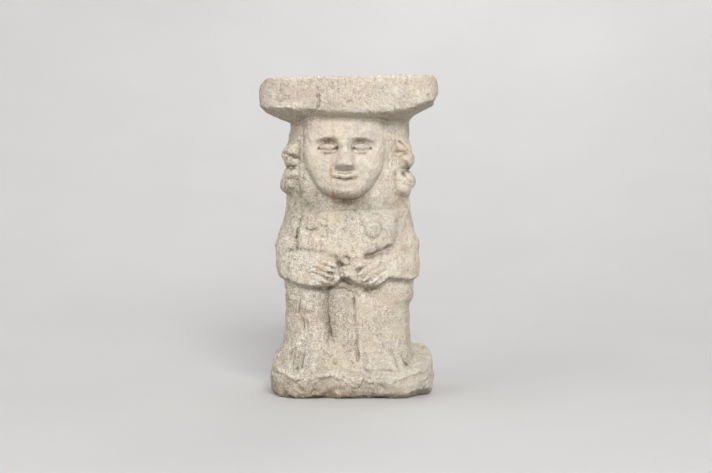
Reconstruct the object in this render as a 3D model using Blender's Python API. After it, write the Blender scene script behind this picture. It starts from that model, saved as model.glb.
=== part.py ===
"""Stone figurine: a standing woman who carries a broad flat slab on her head.

Head, body, feet, slab and base are carved from one block, so the model is one closed solid.
The form is a distance field: every function below gives the distance from points to one carved
form, and soft minima melt the forms together as the carver left them. Rays cast outwards from
the block's middle line find its outermost skin, which becomes the mesh.
Metres, Z up, the figure faces -Y, and the origin is under the middle of the piece.
"""

import bpy
import numpy as np

# ---- Driving dimensions -------------------------------------------------------------------
HEIGHT = 0.360  # floor to the top of the slab
SLAB_WIDTH = 0.1998
SLAB_DEPTH = 0.150
SLAB_CORNER = 0.026
SLAB_TOP = 0.3583  # the slab's top above the middle line
TOP_RISE = 0.019  # how fast the top climbs towards +X
RIM_TILT = 0.060  # how fast the underside climbs towards the back
UNDERCUT = np.radians(18.0)  # how steeply the underside slopes in to the head
BASE_WIDTH = 0.184
BASE_DEPTH = 0.146
BASE_OFFSET = 0.0045  # the base stands a little towards +X
FACE_WIDTH = 0.096
FACE_OFFSET = -0.0035  # the face looks out a little towards -X of the block's middle
CHIN = 0.2215
FACE_HEIGHT = 0.105  # chin to hairline, which the slab hides
WEAR = 0.0006  # how far weathering waves the skin in and out
ROUGH_BASE = 0.0009  # and how much more the hewn base wanders
BASE_CORNER = 0.040
RIDGE_TILT = 0.042  # how fast the chest's top edge climbs towards +X
BLOCK_TOP = 0.338  # the body's core ends inside the slab
SLOPE_FOOT = 0.302  # the slab's sloping underside meets the head above this
UNDERSIDE = -0.003  # the carved stone goes this far under the floor, and is then cut flat
ARM_LIFT = 0.0110  # how far the forearms stand out of the body
HAND = 0.0006  # how far the carver's long cuts waver

SKIN_COLUMNS = 240
SKIN_ROWS = 300
MOST_TRIANGLES = 9800

FULL_TURN = 2 * np.pi


# ---- Distance tools -----------------------------------------------------------------------
def soft_min(a, b, blend):
    """The lower of two distances, with a fillet about blend wide where they cross."""
    near = np.maximum(blend - np.abs(a - b), 0.0) / blend
    return np.minimum(a, b) - near * near * blend / 4


def soft_max(a, b, blend):
    """The higher of two distances, with a round about blend wide where they cross."""
    return -soft_min(-a, -b, blend)


def step(value, low, high):
    """0 below low, 1 above high and smooth between them. low may be above high."""
    t = np.clip((value - low) / (high - low), 0.0, 1.0)
    return t * t * (3 - 2 * t)


def mound(value, middle, width):
    """1 at the middle, fading to nothing about two widths away on both sides."""
    return np.exp(-(((value - middle) / width) ** 2))


def profile(value, stations):
    """A smooth curve through (place, size) stations that never swings past them."""
    places, sizes = np.array(stations).T
    gaps = np.diff(places)
    climb = np.diff(sizes) / gaps
    before, after = climb[:-1], climb[1:]
    level = before * after <= 0
    middle = 2 * before * after / np.where(level, 1.0, before + after)
    slopes = np.concatenate([[0.0], np.where(level, 0.0, middle), [0.0]])
    i = np.clip(np.searchsorted(places, value) - 1, 0, len(gaps) - 1)
    t = np.clip((value - places[i]) / gaps[i], 0.0, 1.0)
    rise = t * t * (3 - 2 * t)
    bend = t * (1 - t) * gaps[i] * (slopes[i] * (1 - t) - slopes[i + 1] * t)
    return sizes[i] * (1 - rise) + sizes[i + 1] * rise + bend


def plan_outline(x, y, half_x, half_y, corner):
    """Distance in plan to a rectangle with round corners."""
    qx, qy = np.abs(x) - half_x + corner, np.abs(y) - half_y + corner
    outside = np.hypot(np.maximum(qx, 0.0), np.maximum(qy, 0.0))
    return outside + np.minimum(np.maximum(qx, qy), 0.0) - corner


def ellipsoid(x, y, z, centre, radii):
    """Near enough the distance to an ellipsoid: its scaled distance over that distance's slope."""
    u, v, w = (x - centre[0]) / radii[0], (y - centre[1]) / radii[1], (z - centre[2]) / radii[2]
    scaled = np.sqrt(u * u + v * v + w * w)
    slope = np.sqrt((u / radii[0]) ** 2 + (v / radii[1]) ** 2 + (w / radii[2]) ** 2)
    return scaled * (scaled - 1.0) / np.maximum(slope, 1e-9)


def limb(x, y, z, start, end, thick, flat=1.0):
    """A round-ended limb from start to end. thick holds its radius at each end, and flat scales
    it along Y."""
    px, py, pz = x - start[0], (y - start[1]) / flat, z - start[2]
    dx, dy, dz = end[0] - start[0], (end[1] - start[1]) / flat, end[2] - start[2]
    along = np.clip((px * dx + py * dy + pz * dz) / (dx * dx + dy * dy + dz * dz), 0.0, 1.0)
    radius = thick[0] + (thick[1] - thick[0]) * along
    away = np.sqrt((px - dx * along) ** 2 + (py - dy * along) ** 2 + (pz - dz * along) ** 2)
    return (away - radius) * min(1.0, flat)


def cut(x, z, start, end, width, depth):
    """A cut from start to end, both (x, z): depth along its middle, fading over width."""
    px, pz, dx, dz = x - start[0], z - start[1], end[0] - start[0], end[1] - start[1]
    along = np.clip((px * dx + pz * dz) / (dx * dx + dz * dz), 0.0, 1.0)
    return depth * mound(np.hypot(px - dx * along, pz - dz * along), 0.0, width)


def groove(x, z, line, width, depth):
    """A cut along a line of (x, z) places, no deeper where its stretches meet."""
    stretches = [cut(x, z, start, end, width, depth) for start, end in zip(line, line[1:])]
    return np.maximum.reduce(stretches)


def waves(x, y, z, seed, length, count):
    """Seeded long waves through space, from -1 to 1, about length apart."""
    random = np.random.default_rng(seed)
    total = 0.0
    for _ in range(count):
        way = random.normal(size=3)
        way *= FULL_TURN / (length * random.uniform(0.6, 2.2) * np.linalg.norm(way))
        phase = random.uniform(0, FULL_TURN)
        total = total + np.sin(way[0] * x + way[1] * y + way[2] * z + phase)
    return total / np.sqrt(count)


# ---- The carved forms ---------------------------------------------------------------------
def block(x, y, z):
    """The body's core, from the feet to the slab: round-cornered, its sizes set by height."""
    minus_side = profile(z, (
        (0.000, 0.0780), (0.045, 0.0775), (0.063, 0.0745), (0.082, 0.0730), (0.101, 0.0720),
        (0.125, 0.0725), (0.165, 0.0700), (0.200, 0.0700), (0.222, 0.0715), (0.245, 0.0700),
        (0.280, 0.0685), (0.310, 0.0665), (0.345, 0.0670)))
    plus_side = profile(z, (
        (0.000, 0.0780), (0.045, 0.0765), (0.063, 0.0725), (0.082, 0.0710), (0.099, 0.0705),
        (0.113, 0.0755), (0.125, 0.0755), (0.165, 0.0700), (0.200, 0.0690), (0.222, 0.0710),
        (0.245, 0.0700), (0.280, 0.0705), (0.310, 0.0710), (0.345, 0.0715)))
    front = profile(z - RIDGE_TILT * x, (
        (0.000, 0.0530), (0.060, 0.0520), (0.110, 0.0525), (0.126, 0.0500), (0.165, 0.0500),
        (0.198, 0.0510), (0.2078, 0.0522), (0.2112, 0.0470), (0.222, 0.0440), (0.245, 0.0445),
        (0.300, 0.0470), (0.345, 0.0480)))
    back = profile(z, (
        (0.000, 0.0540), (0.060, 0.0550), (0.110, 0.0620), (0.150, 0.0570), (0.185, 0.0590),
        (0.215, 0.0560), (0.250, 0.0600), (0.300, 0.0570), (0.345, 0.0570)))
    corner = profile(z, (
        (0.000, 0.036), (0.110, 0.032), (0.160, 0.024), (0.205, 0.024), (0.230, 0.032),
        (0.345, 0.032)))
    corner = corner + 0.012 * step(y, -0.005, 0.020)
    middle_x, middle_y = (plus_side - minus_side) / 2, (back - front) / 2
    half_x, half_y = (minus_side + plus_side) / 2, (front + back) / 2
    sides = plan_outline(x - middle_x, y - middle_y, half_x, half_y, corner)
    return np.maximum(sides, z - BLOCK_TOP)


def slab(x, y, z):
    """The slab she carries: a thick board, thinner towards +X, over a sloping underside."""
    outline = plan_outline(x, y, SLAB_WIDTH / 2, SLAB_DEPTH / 2, SLAB_CORNER)
    over = z - SLAB_TOP - TOP_RISE * x
    rim = profile(x, (
        (-0.120, 0.3270), (-0.095, 0.3235), (-0.065, 0.3210), (-0.034, 0.3203), (-0.016, 0.3175),
        (0.020, 0.3165), (0.045, 0.3180), (0.066, 0.3205), (0.080, 0.3275), (0.100, 0.3320),
        (0.120, 0.3350)))
    under = rim + RIM_TILT * (y + SLAB_DEPTH / 2) - z
    board = soft_max(soft_max(outline, over, 0.007), under, 0.003)
    edge = profile(x, (
        (-0.090, 0.3200), (-0.034, 0.3220), (-0.016, 0.3250), (0.030, 0.3262), (0.058, 0.3270),
        (0.070, 0.3235), (0.100, 0.3290)))
    bevel = (-SLAB_DEPTH / 2 - y) * 0.85 + (edge - z) * 0.53
    board = soft_max(board, bevel, 0.0015)
    slope = soft_max(outline * np.sin(UNDERCUT) + under * np.cos(UNDERCUT), outline, 0.006)
    slope = np.maximum(np.maximum(slope, over), SLOPE_FOOT - z)
    round_end = 0.0125
    past = np.maximum(round_end - 0.1000 - x, 0.0)
    worn_end = np.hypot(past, np.maximum(over + round_end, 0.0)) - round_end
    blow = cut(x, z, (-0.0324, 0.3450), (-0.0324, 0.3220), 0.0013, 0.0012) * step(y, -0.050, -0.060)
    board = soft_max(soft_min(board, slope, 0.002) + blow, worn_end, 0.003)
    bevelled_end = (x - 0.0975 + over + 0.0030) * np.sqrt(0.5)
    broken_corner = (x - 0.0990) * 0.68 + (0.3345 - z) * 0.73
    return soft_max(board, soft_max(bevelled_end, broken_corner, 0.003), 0.003)


def base(x, y, z):
    """The low base: a rough round-cornered plinth whose top climbs to the legs."""
    outline = plan_outline(x - BASE_OFFSET, y + 0.001, BASE_WIDTH / 2, BASE_DEPTH / 2, BASE_CORNER)
    ledge = profile(x, (
        (-0.090, 0.0330), (-0.078, 0.0325), (-0.062, 0.0270), (-0.052, 0.0250), (-0.034, 0.0272),
        (-0.014, 0.0290), (0.004, 0.0258), (0.020, 0.0240), (0.036, 0.0218), (0.051, 0.0222),
        (0.060, 0.0262), (0.077, 0.0300), (0.095, 0.0330)))
    back_top = 0.0480 + 0.030 * (x - BASE_OFFSET)
    top = ledge + (back_top - ledge) * step(y, -0.080, 0.005)
    front = step(y, -0.035, -0.060)
    worn_foot = 0.0080 * step(z, 0.010, -0.002) + front * (
        0.0016 * step(z, ledge - 0.001, ledge - 0.005) + 0.0028 * step(z, 0.020, 0.004))
    return soft_max(outline + worn_foot, (z - top) * 0.93, 0.009 - 0.0065 * front)


def hewn(x, y, z):
    """Flat facets struck off the base's sides, all round, by seeded blows."""
    random = np.random.default_rng(11)
    facets = np.full(np.shape(x), -1.0)
    for turn in np.linspace(0.0, FULL_TURN, 15, endpoint=False):
        turn += random.uniform(-0.12, 0.12)
        tilt = random.uniform(-0.55, 0.35)
        out = np.array([np.cos(turn), np.sin(turn)]) * np.cos(tilt)
        up = np.sin(tilt)
        corner = (BASE_WIDTH / 2 - BASE_CORNER) * abs(out[0]) + (BASE_DEPTH / 2 - BASE_CORNER) * abs(out[1])
        reach = corner + BASE_CORNER * np.cos(tilt) + 0.022 * abs(up) - random.uniform(0.0010, 0.0035)
        plane = out[0] * (x - BASE_OFFSET) + out[1] * (y + 0.001) + up * (z - 0.017)
        facets = np.maximum(facets, plane - reach)
    return facets


def head(x, y, z):
    """The face's raised shield: straight sides that close to a round chin below eye level, and
    gently domed."""
    half = 0.54 * FACE_HEIGHT
    middle = CHIN + half
    narrow = 1.0 - 0.16 * step(z, middle - 0.004, CHIN)
    u = (x - FACE_OFFSET) / (narrow * FACE_WIDTH / 2)
    w = np.minimum(z - middle, 0.0) / half
    egg = ((np.abs(u) ** 2.4 + np.abs(w) ** 2.4) ** (1 / 2.4) - 1.0) * FACE_WIDTH / 2
    dome = 0.0605 - 0.0070 * u * u - 0.0020 * w * w
    shield = soft_max(egg, (-y - dome) * 0.95, 0.016)
    return np.maximum(np.maximum(shield, y), z - BLOCK_TOP)


def features(x, z):
    """How far the features stand out of the face: brows, closed lids, nose, cheeks, lips and
    chin, all set out by the thirds of its height and the fifths of its width."""
    x = np.abs(x - FACE_OFFSET)
    third, fifth = FACE_HEIGHT / 3, FACE_WIDTH / 5
    nose_foot, eye, mouth = CHIN + third, CHIN + 1.66 * third, CHIN + 0.65 * third
    brow = CHIN + 2 * third - 0.0030 * (x / (1.8 * fifth)) ** 2
    away = np.hypot((x - fifth) / (0.86 * fifth), (z - eye - 0.0008) / 0.0098)
    sockets = -0.0046 * step(away, 1.20, 0.55)
    brows = 0.0016 * mound(z, brow + 0.0010, 0.0030) * step(x, 2.0 * fifth, fifth)
    almond = 1.0 - ((x - fifth) / (0.60 * fifth)) ** 2
    lids = 0.0052 * step(almond - ((z - eye) / 0.0066) ** 2, -0.05, 0.85)
    lash_line = eye - 0.0030 * np.maximum(almond, 0.0)
    lids = lids - 0.0024 * mound(z, lash_line, 0.0017) * step(almond, -0.15, 0.25)
    fall = step(z, brow + 0.004, nose_foot + 0.003)
    wide = 0.0052 + 0.0030 * fall ** 2
    length = step(z, nose_foot - 0.0050, nose_foot + 0.0050) * step(z, brow + 0.010, brow - 0.010)
    nose = (0.0034 + 0.0074 * fall) * length * mound(np.maximum(x - 0.0016, 0.0), 0.0, wide)
    wings = 0.0042 * mound(x, 0.0076, 0.0030) * mound(z, nose_foot + 0.0038, 0.0036)
    cheeks = 0.0028 * mound(x, 1.35 * fifth, 0.0125) * mound(z, nose_foot + 0.0030, 0.0120)
    parting = mouth + 0.0006 - 0.0010 * mound(x, 0.0, 0.0030) + 0.0012 * (x / 0.013) ** 2
    lips = 0.0032 * mound(z, parting + 0.0036, 0.0030) * step(x, 0.0165, 0.0060)
    lips = lips + 0.0036 * mound(z, parting - 0.0044, 0.0036) * step(x, 0.0150, 0.0040)
    lips = lips - 0.0026 * mound(z, parting, 0.0018) * step(x, 0.0175, 0.0125)
    chin = 0.0032 * mound(x, 0.0, 0.0105) * mound(z, CHIN + 0.0105, 0.0068)
    return sockets + brows + lids + nose + wings + cheeks + lips + chin


def ears(x, y, z):
    """Two double knobs down each side of the head: an ear, and the ornament that hangs under it."""
    found = np.inf
    for centre, radii in (
            ((-0.0630, -0.0230, 0.2765), (0.0120, 0.0190, 0.0125)),
            ((-0.0600, -0.0250, 0.2665), (0.0120, 0.0190, 0.0085)),
            ((-0.0640, -0.0240, 0.2420), (0.0138, 0.0190, 0.0125)),
            ((-0.0600, -0.0250, 0.2520), (0.0130, 0.0170, 0.0085)),
            ((0.0610, -0.0240, 0.2810), (0.0128, 0.0190, 0.0100)),
            ((0.0645, -0.0240, 0.2700), (0.0126, 0.0190, 0.0120)),
            ((0.0640, -0.0240, 0.2450), (0.0138, 0.0190, 0.0115)),
            ((0.0590, -0.0270, 0.2350), (0.0130, 0.0170, 0.0100))):
        found = soft_min(found, ellipsoid(x, y, z, centre, radii), 0.0015)
    return found


def upper_arms(x, y, z):
    """Upper arms down the sides, thickest at the elbows."""
    found = np.inf
    for points in (
            ((-0.0585, -0.014, 0.214), (-0.0670, -0.018, 0.170), (-0.0668, -0.024, 0.1490)),
            ((0.0580, -0.014, 0.214), (0.0655, -0.018, 0.170), (0.0662, -0.024, 0.1490))):
        shoulder, middle, elbow = points
        upper = limb(x, y, z, shoulder, middle, (0.0130, 0.0160), flat=1.5)
        lower = limb(x, y, z, middle, elbow, (0.0160, 0.0162), flat=1.5)
        found = np.minimum(found, soft_min(upper, lower, 0.004))
    return found


def forearms(x, y, z, core):
    """Both forearms as one flat band bent round the belly, standing ARM_LIFT out of the core,
    with its top and lower edges set by the places across. The hands are slightly raised on it,
    and the broader one, at +X, hangs lower."""
    top = profile(x, (
        (-0.085, 0.1590), (-0.071, 0.1625), (-0.044, 0.1632), (-0.027, 0.1600), (-0.012, 0.1552),
        (0.006, 0.1535), (0.020, 0.1545), (0.036, 0.1600), (0.050, 0.1655), (0.060, 0.1690),
        (0.070, 0.1690), (0.085, 0.1650)))
    low = profile(x, (
        (-0.085, 0.1370), (-0.070, 0.1326), (-0.054, 0.1268), (-0.043, 0.1246), (-0.032, 0.1243),
        (-0.017, 0.1254), (-0.012, 0.1282), (-0.006, 0.1342), (0.002, 0.1345), (0.008, 0.1322),
        (0.013, 0.1286), (0.022, 0.1246), (0.033, 0.1244), (0.041, 0.1286), (0.047, 0.1328),
        (0.060, 0.1332), (0.073, 0.1318), (0.085, 0.1350)))
    lift = ARM_LIFT - 0.0035 * step(np.abs(x), 0.052, 0.070) - 0.0030 * step(z, top - 0.018, top)
    band = soft_max(core - lift, (z - top - 0.0030) * 0.92 + core * 0.39, 0.006)
    band = soft_max(soft_max(band, low - z, 0.006), y + 0.004, 0.010)
    minus_hand = ellipsoid(x, y, z, (-0.0225, -0.0515, 0.1425), (0.0165, 0.0125, 0.0165))
    thumb = ellipsoid(x, y, z, (-0.0015, -0.0565, 0.1520), (0.0042, 0.0065, 0.0042))
    plus_hand = ellipsoid(x, y, z, (0.0200, -0.0505, 0.1410), (0.0220, 0.0145, 0.0170))
    band = soft_min(soft_min(band, minus_hand, 0.005), plus_hand, 0.005)
    band = soft_min(band, thumb, 0.003)
    for knuckle, tip, thick in (
            ((-0.0290, 0.1530), (-0.0150, 0.1482), 0.0027), ((-0.0335, 0.1482), (-0.0160, 0.1418), 0.0029),
            ((-0.0370, 0.1432), (-0.0190, 0.1350), 0.0029), ((-0.0385, 0.1375), (-0.0240, 0.1302), 0.0026),
            ((0.0215, 0.1542), (0.0085, 0.1455), 0.0027), ((0.0275, 0.1485), (0.0130, 0.1392), 0.0030),
            ((0.0325, 0.1432), (0.0175, 0.1330), 0.0030), ((0.0370, 0.1370), (0.0250, 0.1290), 0.0027)):
        finger = limb(x, y, z, (knuckle[0], -0.0600, knuckle[1]), (tip[0], -0.0640, tip[1]), (thick, thick))
        band = soft_min(band, finger, 0.0016)
    gap = cut(x, z, (-0.0129, 0.1576), (-0.0084, 0.1487), 0.0020, 0.0034)
    return band + gap + cut(x, z, (-0.0080, 0.1460), (-0.0070, 0.1390), 0.0034, 0.0026)


def breasts(x, y, z):
    """Two small low discs."""
    minus = ellipsoid(x, y, z, (-0.0410, -0.0495, 0.1945), (0.0085, 0.0060, 0.0080))
    plus = ellipsoid(x, y, z, (0.0288, -0.0495, 0.1885), (0.0115, 0.0050, 0.0110))
    return np.minimum(minus, plus)


def feet(x, y, z):
    """Broad feet that slope from the legs to the base's front edge, and their toes."""
    found = limb(x, y, z, (-0.0620, -0.034, 0.0420), (-0.0600, -0.0520, 0.0300), (0.0170, 0.0120))
    for side, wide in (
            (-0.0490, 0.0170), (-0.0400, 0.0150), (0.0300, 0.0140), (0.0400, 0.0170),
            (0.0540, 0.0180)):
        ramp = limb(x, y, z, (side, -0.036, 0.0430), (side, -0.0550, 0.0290), (wide, 0.0130))
        found = soft_min(found, ramp, 0.006)
    for knuckle, tip in (
            (-0.0576, -0.0650), (-0.0508, -0.0556), (-0.0430, -0.0462), (-0.0365, -0.0375),
            (0.0240, 0.0235), (0.0320, 0.0325), (0.0400, 0.0420), (0.0478, 0.0515), (0.0552, 0.0620)):
        reach = 7.0 * max(abs(tip) - 0.035, 0.0) ** 2 - 0.0680
        toe = limb(x, y, z, (knuckle, -0.0500, 0.0500), (tip, reach + 0.004, 0.0345), (0.0026, 0.0036))
        found = soft_min(found, toe, 0.003)
    return found


def arm_cuts(x, z):
    """How deep the front is cut along the arms: down the inside of both, and over the forearms."""
    x, z = x + HAND * np.sin(640.0 * z + 1.0), z + HAND * np.sin(520.0 * x)
    depth = np.zeros_like(x)
    for width, deep, line in (
            (0.0021, 0.0036, ((-0.0530, 0.2060), (-0.0566, 0.1909), (-0.0582, 0.1790))),
            (0.0020, 0.0024, ((-0.0582, 0.1790), (-0.0574, 0.1670))),
            (0.0018, 0.0011, ((-0.0700, 0.1648), (-0.0457, 0.1657), (-0.0272, 0.1623), (-0.0120, 0.1573),
                              (0.0064, 0.1555), (0.0216, 0.1566))),
            (0.0036, 0.0032, ((0.0216, 0.1570), (0.0367, 0.1628), (0.0490, 0.1685))),
            (0.0030, 0.0022, ((0.0490, 0.1685), (0.0540, 0.1760), (0.0560, 0.1850), (0.0556, 0.1960)))):
        depth = np.maximum(depth, groove(x, z, line, width, deep))
    return depth


def body_cuts(x, z):
    """How deep the body's front is cut: round the lap and between the legs."""
    x, z = x + HAND * np.sin(480.0 * z), z + HAND * np.sin(560.0 * x + 1.0)
    depth = np.zeros_like(x)
    for width, deep, line in (
            (0.0050, 0.0022, ((-0.0090, 0.1310), (0.0040, 0.1290))),
            (0.0036, 0.0034, ((-0.0270, 0.1163), (-0.0207, 0.1230), (-0.0118, 0.1252),
                              (-0.0040, 0.1241), (0.0038, 0.1208), (0.0105, 0.1174))),
            (0.0050, 0.0060, ((-0.0236, 0.1150), (-0.0236, 0.0985), (-0.0212, 0.0762),
                              (-0.0170, 0.0600))),
            (0.0015, 0.0014, ((0.0061, 0.1185), (0.0072, 0.0985), (0.0083, 0.0650),
                              (0.0117, 0.0400)))):
        depth = np.maximum(depth, groove(x, z, line, width, deep))
    legs = step(z, 0.040, 0.060) * step(z, 0.124, 0.114)
    edge = -0.0270 + 0.10 * np.maximum(0.100 - z, 0.0)
    lap = step(x, edge - 0.0010, edge + 0.0022) * step(x, 0.0080, -0.0060)
    beside = legs * step(x, edge + 0.0006, edge - 0.0016)
    depth = np.maximum(depth, 0.0050 * legs * lap) * (1.0 - beside)
    return depth - 0.0014 * legs * mound(x, edge - 0.0030, 0.0028)


def back_cuts(x, z):
    """How deep the back is cut: inside the arms, under the fall of hair and round the waist."""
    depth = cut(x, z, (-0.0480, 0.1960), (-0.0560, 0.1420), 0.0032, 0.0030)
    depth += cut(x, z, (0.0480, 0.1960), (0.0560, 0.1420), 0.0032, 0.0030)
    depth += cut(x, z, (-0.0700, 0.1290), (0.0000, 0.1240), 0.0030, 0.0022)
    depth += cut(x, z, (0.0000, 0.1240), (0.0700, 0.1290), 0.0030, 0.0022)
    hem = 0.2000 + 5.0 * x * x
    return depth + 0.0030 * step(z, hem + 0.003, hem) * step(z, hem - 0.030, hem - 0.002)


def chips(x, y, z):
    """Blows that broke stone away: a hollow under the base's front and nicks round its foot."""
    found = np.inf
    for centre, radii in (
            ((-0.042, -0.0790, 0.0070), (0.022, 0.0100, 0.0060)),
            ((-0.010, -0.0780, 0.0060), (0.0110, 0.0085, 0.0090)),
            ((0.018, -0.0810, 0.0060), (0.0200, 0.0070, 0.0040)),
            ((-0.098, -0.0700, -0.0020), (0.026, 0.026, 0.012)),
            ((0.104, -0.0660, -0.0030), (0.036, 0.038, 0.014)),
            ((0.078, -0.0200, 0.1020), (0.0070, 0.0300, 0.0060))):
        found = np.minimum(found, ellipsoid(x, y, z, centre, radii))
    return -found


def figure(x, y, z):
    """The whole stone: negative inside, positive outside."""
    core = block(x, y, z)
    stone = core + body_cuts(x, z) * step(y, -0.010, -0.030) + back_cuts(x, z) * step(y, 0.010, 0.030)
    foot = soft_max(base(x, y, z), hewn(x, y, z), 0.002)
    stone = soft_min(stone, foot, 0.008 + 0.006 * step(x, 0.050, 0.090))
    stone = soft_min(stone, feet(x, y, z), 0.006)
    arms = soft_min(upper_arms(x, y, z), forearms(x, y, z, core), 0.004)
    stone = soft_min(stone, arms, 0.0035) + arm_cuts(x, z) * step(y, -0.010, -0.030)
    stone = soft_min(stone, breasts(x, y, z), 0.002)
    stone = soft_min(stone, ears(x, y, z), 0.006)
    face = head(x, y, z) - features(x, z) * step(y, -0.020, -0.030)
    stone = soft_min(stone, face, 0.003)
    stone = soft_min(stone, slab(x, y, z), 0.003)
    rough = ROUGH_BASE * step(z, 0.036, 0.024)
    stone = stone + WEAR * waves(x, y, z, 5, 0.034, 14) + rough * waves(x, y, z, 8, 0.018, 12)
    stone = soft_max(stone, chips(x, y, z), 0.002)
    return soft_max(stone, UNDERSIDE - z, 0.004)


# ---- Casting the skin ---------------------------------------------------------------------
REACH = 0.150  # outside every form, from the middle line
CAP = 0.045  # the middle line starts this far above the floor and ends this far below the top
GUIDE = (0.105, 0.080)  # half width and half depth of the upright oval that the rays aim at


def cast(origin, aim):
    """Walks in from outside along each ray until the distance is nothing: the outermost skin."""
    way = aim - origin
    way /= np.linalg.norm(way, axis=1)[:, None]
    reach = np.full(len(way), REACH)
    for _ in range(60):
        point = origin + way * reach[:, None]
        reach = np.maximum(reach - 0.8 * figure(*point.T), 0.004)
    return origin + way * reach[:, None]


def grid(us, vs):
    """Skin points for every row v and column u, both from 0 to 1. Rows run up the guide oval:
    from the middle of its foot, along its side and over its top to the middle."""
    u, v = (each.ravel() for each in np.meshgrid(us, vs))
    foot = GUIDE[0]
    walked = v * (2 * foot + HEIGHT)
    out = np.clip(np.minimum(walked, 2 * foot + HEIGHT - walked) / foot, 0.0, 1.0)
    height = np.clip(walked - foot, 0.0, HEIGHT)
    turn = FULL_TURN * u
    aim = np.stack([out * GUIDE[0] * np.cos(turn), out * GUIDE[1] * np.sin(turn), height], axis=-1)
    origin = np.zeros_like(aim)
    origin[:, 2] = np.clip(height, CAP, HEIGHT - CAP)
    return cast(origin, aim).reshape(len(vs), len(us), 3)


def even_out(ways, lengths, count):
    """count places along ways, so that the lengths between them come out alike."""
    walked = np.concatenate([[0.0], np.cumsum(lengths)])
    return np.interp(np.linspace(0.0, walked[-1], count), walked, ways)


def skin(columns, rows):
    """The skin as a grid of points, its rows and columns spread by a first, coarse cast."""
    us, vs = np.linspace(0.0, 1.0, 73), np.linspace(0.004, 0.996, 120)
    first = grid(us, vs)
    across = np.linalg.norm(np.diff(first, axis=1), axis=2).mean(axis=0)
    along = np.linalg.norm(np.diff(first, axis=0), axis=2).mean(axis=1)
    return grid(even_out(us, across, columns + 1)[:-1], even_out(vs, along, rows))


def mesh_from(points, name):
    """A closed mesh: quads between neighbours and a fan round the middle of each end."""
    rows, columns, _ = points.shape
    index = np.arange(rows * columns).reshape(rows, columns)
    after = np.roll(index, -1, axis=1)
    quads = np.stack([index[:-1], after[:-1], after[1:], index[1:]], axis=-1).reshape(-1, 4)
    ends = np.array([points[0].mean(axis=0), points[-1].mean(axis=0)])
    low, high = rows * columns, rows * columns + 1
    floor = np.stack([after[0], index[0], np.full(columns, low)], axis=-1)
    crown = np.stack([index[-1], after[-1], np.full(columns, high)], axis=-1)
    mesh = bpy.data.meshes.new(name)
    vertices = np.concatenate([points.reshape(-1, 3), ends])
    mesh.from_pydata(vertices.tolist(), [], [*quads.tolist(), *floor.tolist(), *crown.tolist()])
    mesh.update()
    mesh.shade_smooth()
    return mesh


# ---- Objects ------------------------------------------------------------------------------
def limestone():
    material = bpy.data.materials.new("stone")
    material.use_nodes = True
    surface = material.node_tree.nodes["Principled BSDF"]
    surface.inputs["Base Color"].default_value = (0.50, 0.46, 0.39, 1.0)
    surface.inputs["Roughness"].default_value = 0.88
    return material


def floor_cutter():
    """A block under the floor: it cuts the foot flat, so the figure stands on one plane."""
    half, deep = 0.2, 0.05
    corners = [(x, y, z) for z in (-deep, 0.0) for y in (-half, half) for x in (-half, half)]
    faces = [(0, 2, 3, 1), (4, 5, 7, 6), (0, 1, 5, 4), (2, 6, 7, 3), (0, 4, 6, 2), (1, 3, 7, 5)]
    mesh = bpy.data.meshes.new("floor_cutter")
    mesh.from_pydata(corners, [], faces)
    cutter = bpy.data.objects.new("floor_cutter", mesh)
    cutter.hide_render = True
    cutter.display_type = "WIRE"
    bpy.context.scene.collection.objects.link(cutter)
    return cutter


def carve():
    points = skin(SKIN_COLUMNS, SKIN_ROWS)
    low, high = points.min(axis=(0, 1)), points.max(axis=(0, 1))
    points[..., :2] -= (low[:2] + high[:2]) / 2
    stone = bpy.data.objects.new("figure", mesh_from(points, "figure"))
    stone.data.materials.append(limestone())
    bpy.context.scene.collection.objects.link(stone)
    fewer = stone.modifiers.new("fewer_faces", "DECIMATE")
    fewer.ratio = MOST_TRIANGLES / (2 * SKIN_COLUMNS * SKIN_ROWS)
    flat = stone.modifiers.new("flat_foot", "BOOLEAN")
    flat.operation = "DIFFERENCE"
    flat.object = floor_cutter()
    return stone


def main():
    for old in list(bpy.data.objects):
        bpy.data.objects.remove(old)
    carve()


main()
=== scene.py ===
"""Looks of the stone figurine: its weathered skin, the stone's colours, and a plain studio.

The skin is the same distance field as the solid's, cast finer and then weathered. Each carved
form below gives the distance from points to it, and soft minima melt the forms together. Tables
of places and sizes are in millimetres, and every other length is in metres.
"""

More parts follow.
